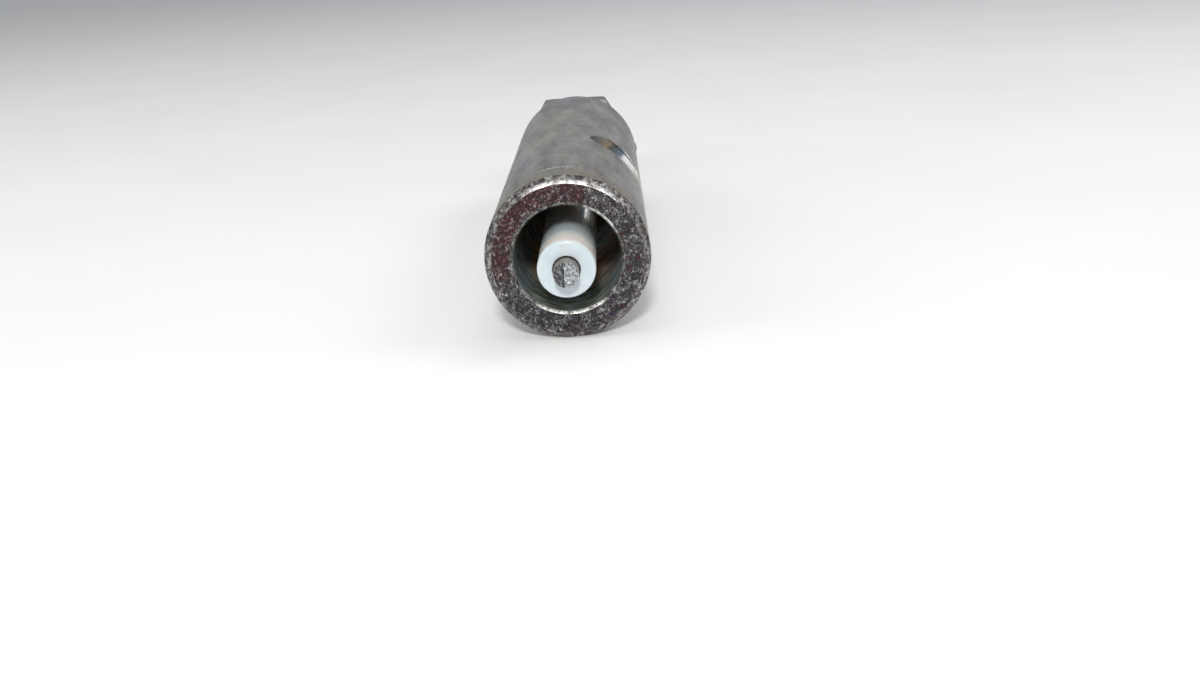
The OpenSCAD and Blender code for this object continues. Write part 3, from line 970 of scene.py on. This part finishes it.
def make_gland_nut():
    """Hollow screw with a hexagon head."""
    front, rear, inner, corner_r = spans("gland_nut")
    head_front = BODY_REAR + NUT_HEAD_GAP
    thread_r = corner_r * COS_30 - GLAND_THREAD_DROP
    outline = [(front, inner), (front, thread_r - LEAD_BEVEL)]
    outline += rows_between(front + LEAD_BEVEL, head_front - 0.05 * MM, thread_r, step=0.09 * MM)
    outline += [(head_front, thread_r)]
    outline += hex_outline(head_front, rear, corner_r, inner)[2:]
    cut = thread_shape(pitch=1.0 * MM, depth=0.5 * MM, start=front, end=head_front - 0.2 * MM)
    shape = screw_shape(cut, hex_shape(corner_r), head_front, inner)
    obj = lathe("gland_nut_hollow_screw", outline, HEX_ANGLES, [GLAND_STEEL], shape, sharp=HEX_SHARP)
    place(obj, "gland_nut", "gland_screw")


def make_hex_nut():
    """Thin hexagon nut under the terminal's washers."""
    front, rear, inner, corner_r = spans("hex_nut")
    outline = hex_outline(front, rear, corner_r, inner)
    obj = lathe("terminal_hex_nut", outline, HEX_ANGLES, [ZINC], hex_shape(corner_r), sharp=HEX_SHARP)
    place(obj, "hex_nut", "electrode")


make_gland_body()
make_gland_nut()
make_hex_nut()

# ---------------------------------------------------------------- terminal


def make_cap():
    """Brass cup with a rolled lip and a crimped groove round its skirt."""
    front, rear, hole_r, outer = spans("terminal_cap")
    end_front, cup_r = rear - 1.4 * MM, outer - 1.25 * MM
    groove, groove_half, groove_depth = front + 3.2 * MM, 0.55 * MM, 0.3 * MM
    corners = [
        (front, cup_r, 0.15 * MM), (front, outer, 0.35 * MM),
        (groove - groove_half, outer, 0.2 * MM), (groove, outer - groove_depth, 0.3 * MM),
        (groove + groove_half, outer, 0.2 * MM), (rear, outer, 0.6 * MM),
        (rear, hole_r, 0.1 * MM), (end_front, hole_r, 0.1 * MM), (end_front, cup_r, 0.2 * MM),
    ]
    obj = lathe("brass_cap", divided(rounded(corners, steps=6), step=0.5 * MM), even(128), [BRASS])
    place(obj, "terminal_cap", "electrode")


def make_stud():
    """Brass stud with a flange, a socket for the rod, a thread, and a pin with a centre mark in its end."""
    front, rear, _, flange_r = spans("terminal_stud")
    flange_rear = spans("cushion_washer")[1]
    socket_r, socket_rear = ROD_R + 0.03 * MM, front + 5.2 * MM
    pin_front, pin_r = rear - 4.0 * MM, STUD_R - 0.5 * MM
    thread_front, thread_rear = flange_rear + 1.4 * MM, pin_front - 0.1 * MM
    pitch, depth, bevel = 0.8 * MM, 0.42 * MM, 0.3 * MM
    outline = [(socket_rear, 0.0), (socket_rear, socket_r), (front, socket_r), (front, flange_r)]
    outline += [(flange_rear, flange_r), (flange_rear, STUD_R)]
    outline += rows_between(flange_rear + 0.05 * MM, pin_front - bevel, STUD_R, step=0.07 * MM)
    outline += [(pin_front, STUD_R - bevel), (pin_front, pin_r)]
    # The pin's rounded end and the centre mark: distances from its end and its side or axis
    rounded_end = [(0.5, 0.0), (0.3, 0.05), (0.1, 0.25), (0.0, 0.5)]
    centre_mark = [(0.0, 0.6), (0.4, 0.2), (0.45, 0.0)]
    outline += [(rear - back * MM, pin_r - drop * MM) for back, drop in rounded_end]
    outline += [(rear - back * MM, r * MM) for back, r in centre_mark]
    cut = thread_shape(pitch, depth, thread_front, thread_rear)

    def shape(angle, station, radius):
        return cut(angle, station, radius) if radius > STUD_R * 0.99 else radius

    obj = lathe("threaded_stud", outline, even(72), [BRASS], shape, sharp=50)
    place(obj, "terminal_stud", "electrode")


def make_thumb_nut():
    """Knurled round nut with a smooth hub towards the stud's free end."""
    front, rear, inner, outer = spans("thumb_nut")
    hub_front, hub_r = rear - 1.2 * MM, outer - 0.8 * MM
    bevel, hole_bevel = 0.4 * MM, 0.3 * MM
    knurl_front, knurl_rear = front + bevel, hub_front - bevel
    outline = [(front, inner + hole_bevel), (front, outer - bevel), (knurl_front, outer)]
    outline += rows_between(knurl_front + 0.08 * MM, knurl_rear - 0.08 * MM, outer, step=0.12 * MM)
    outline += [(knurl_rear, outer), (hub_front, outer - bevel), (hub_front, hub_r)]
    outline += [(rear - bevel, hub_r), (rear - 0.1 * MM, hub_r - 0.32 * MM), (rear, hub_r - bevel)]
    outline += [(rear, inner + hole_bevel), (rear - hole_bevel, inner), (front + hole_bevel, inner)]
    teeth, columns_per_tooth, knurl_depth = 34, 10, 0.24 * MM
    lean = TURN / (1.15 * MM)

    def shape(angle, station, radius):
        if radius < outer * 0.999:
            return radius
        one = abs(math.sin(angle * teeth / 2 + station * lean / 2))
        two = abs(math.sin(angle * teeth / 2 - station * lean / 2))
        return radius - knurl_depth * (1 - min(one, two))

    obj = lathe("knurled_thumb_nut", outline, even(teeth * columns_per_tooth), [BRASS], shape, sharp=60)
    place(obj, "thumb_nut", "thumb_screw")


def make_lock_washer():
    """Square-section spring ring with a slanting split."""
    front, rear, inner, outer = spans("lock_washer")
    soft, split, slant_length, columns = 0.12 * MM, 0.8 * MM, 0.35 * MM, 90
    corners = [(front, inner, soft), (front, outer, soft), (rear, outer, soft), (rear, inner, soft)]
    section = rounded(corners, steps=3)
    middle = (inner + outer) / 2
    half_gap, slant = split / middle / 2, slant_length / middle
    start, length = TURN / 4 + half_gap + 0.5 * slant, TURN - 2 * half_gap - slant
    verts, faces = [], []
    for i in range(columns + 1):
        for y, r in section:
            lean = slant * ((y - front) / (rear - front) - 0.5)
            verts.append(on_axis(start + length * i / columns + lean, y, r))
    count = len(section)
    for i in range(columns):
        faces += quads(i * count, (i + 1) * count, count)
    faces += [tuple(range(count)), tuple(range(columns * count, (columns + 1) * count))]
    obj = mesh_object("split_lock_washer", verts, faces, [0] * len(faces), [SPRING_STEEL], sharp=40)
    place(obj, "lock_washer", "lug_clamp")


make_cap()
make_stud()
make_thumb_nut()
make_lock_washer()
ring_piece("plain_washer", "electrode", ZINC, fillet=0.15)
ring_piece("clamp_washer", "lug_clamp", ZINC, fillet=0.15)

# ---------------------------------------------------------------- floor, light, camera

ORIGIN = Vector((0, 0, 0))
MOUTH_CENTRE = Vector((0, MOUTH, 0))
WHITE = (1, 1, 1)
KEY_WHITE = (1.0, 0.99, 0.97)
STUDIO_WHITE = (0.95, 0.97, 1.0)
STUDIO_STRENGTH = 0.38


def make_floor():
    """Large pale card under the part."""
    reach = 3.0
    floor_z = cad_bounds[0].z
    corners = [(-reach, -reach), (reach, -reach), (reach, reach), (-reach, reach)]
    mesh = bpy.data.meshes.new("floor")
    mesh.from_pydata([(x, y, floor_z) for x, y in corners], [], [(0, 1, 2, 3)])
    floor = bpy.data.objects.new("floor", mesh)
    bpy.context.scene.collection.objects.link(floor)
    f = Finish("floor_card", roughness=0.7)
    colour = f.ramp(f.noise(0.02, 3, 0.5), (0.3, (0.91, 0.91, 0.91)), (0.7, (0.94, 0.94, 0.94)))
    mesh.materials.append(f.done(colour))


def area_light(name, where, target, size, watts, colour=WHITE):
    """Round light of a diameter in metres, turned towards a target."""
    data = bpy.data.lights.new(name, "AREA")
    data.shape = "DISK"
    data.size = size
    data.energy = watts
    data.color = colour
    obj = bpy.data.objects.new(name, data)
    obj.location = where
    obj.rotation_euler = (target - Vector(where)).to_track_quat("-Z", "Y").to_euler()
    bpy.context.scene.collection.objects.link(obj)


def make_lights():
    """A small key light above the mouth, and large soft lights around the part."""
    above, key_distance = math.radians(34), 0.6
    toward_key = Vector((0, -math.cos(above), math.sin(above)))
    key_place = MOUTH_CENTRE + toward_key * key_distance
    area_light("key", key_place, MOUTH_CENTRE, size=0.08, watts=2.3, colour=KEY_WHITE)
    area_light("overhead", (0.0, 0.1, 0.9), ORIGIN, size=1.0, watts=1.9)
    area_light("side", (0.45, 0.0, 0.42), ORIGIN, size=0.3, watts=0.8)
    area_light("fill", (-0.5, -0.1, 0.3), ORIGIN, size=0.4, watts=0.7)
    world = bpy.data.worlds.new("studio")
    world.use_nodes = True
    background = world.node_tree.nodes["Background"]
    background.inputs["Color"].default_value = (*STUDIO_WHITE, 1)
    background.inputs["Strength"].default_value = STUDIO_STRENGTH
    bpy.context.scene.world = world


def make_camera():
    """Camera at the photograph's viewing angle, given from the middle of the sleeve's mouth."""
    eye = Vector((6.8, -152.3, 39.8)) * MM
    aim = Vector((3.4, 1.5, -11.1)) * MM
    roll = math.radians(-3.9)
    data = bpy.data.cameras.new("camera")
    data.sensor_width = 36.0
    data.lens = 37.3
    data.clip_start = 0.005
    data.clip_end = 20
    camera = bpy.data.objects.new("camera", data)
    turn = (aim - eye).to_track_quat("-Z", "Y").to_matrix().to_4x4()
    camera.matrix_world = Matrix.Translation(MOUTH_CENTRE + eye) @ turn @ Matrix.Rotation(roll, 4, "Z")
    bpy.context.scene.collection.objects.link(camera)
    bpy.context.scene.camera = camera


make_floor()
make_lights()
make_camera()
bpy.context.scene.view_settings.view_transform = "Standard"
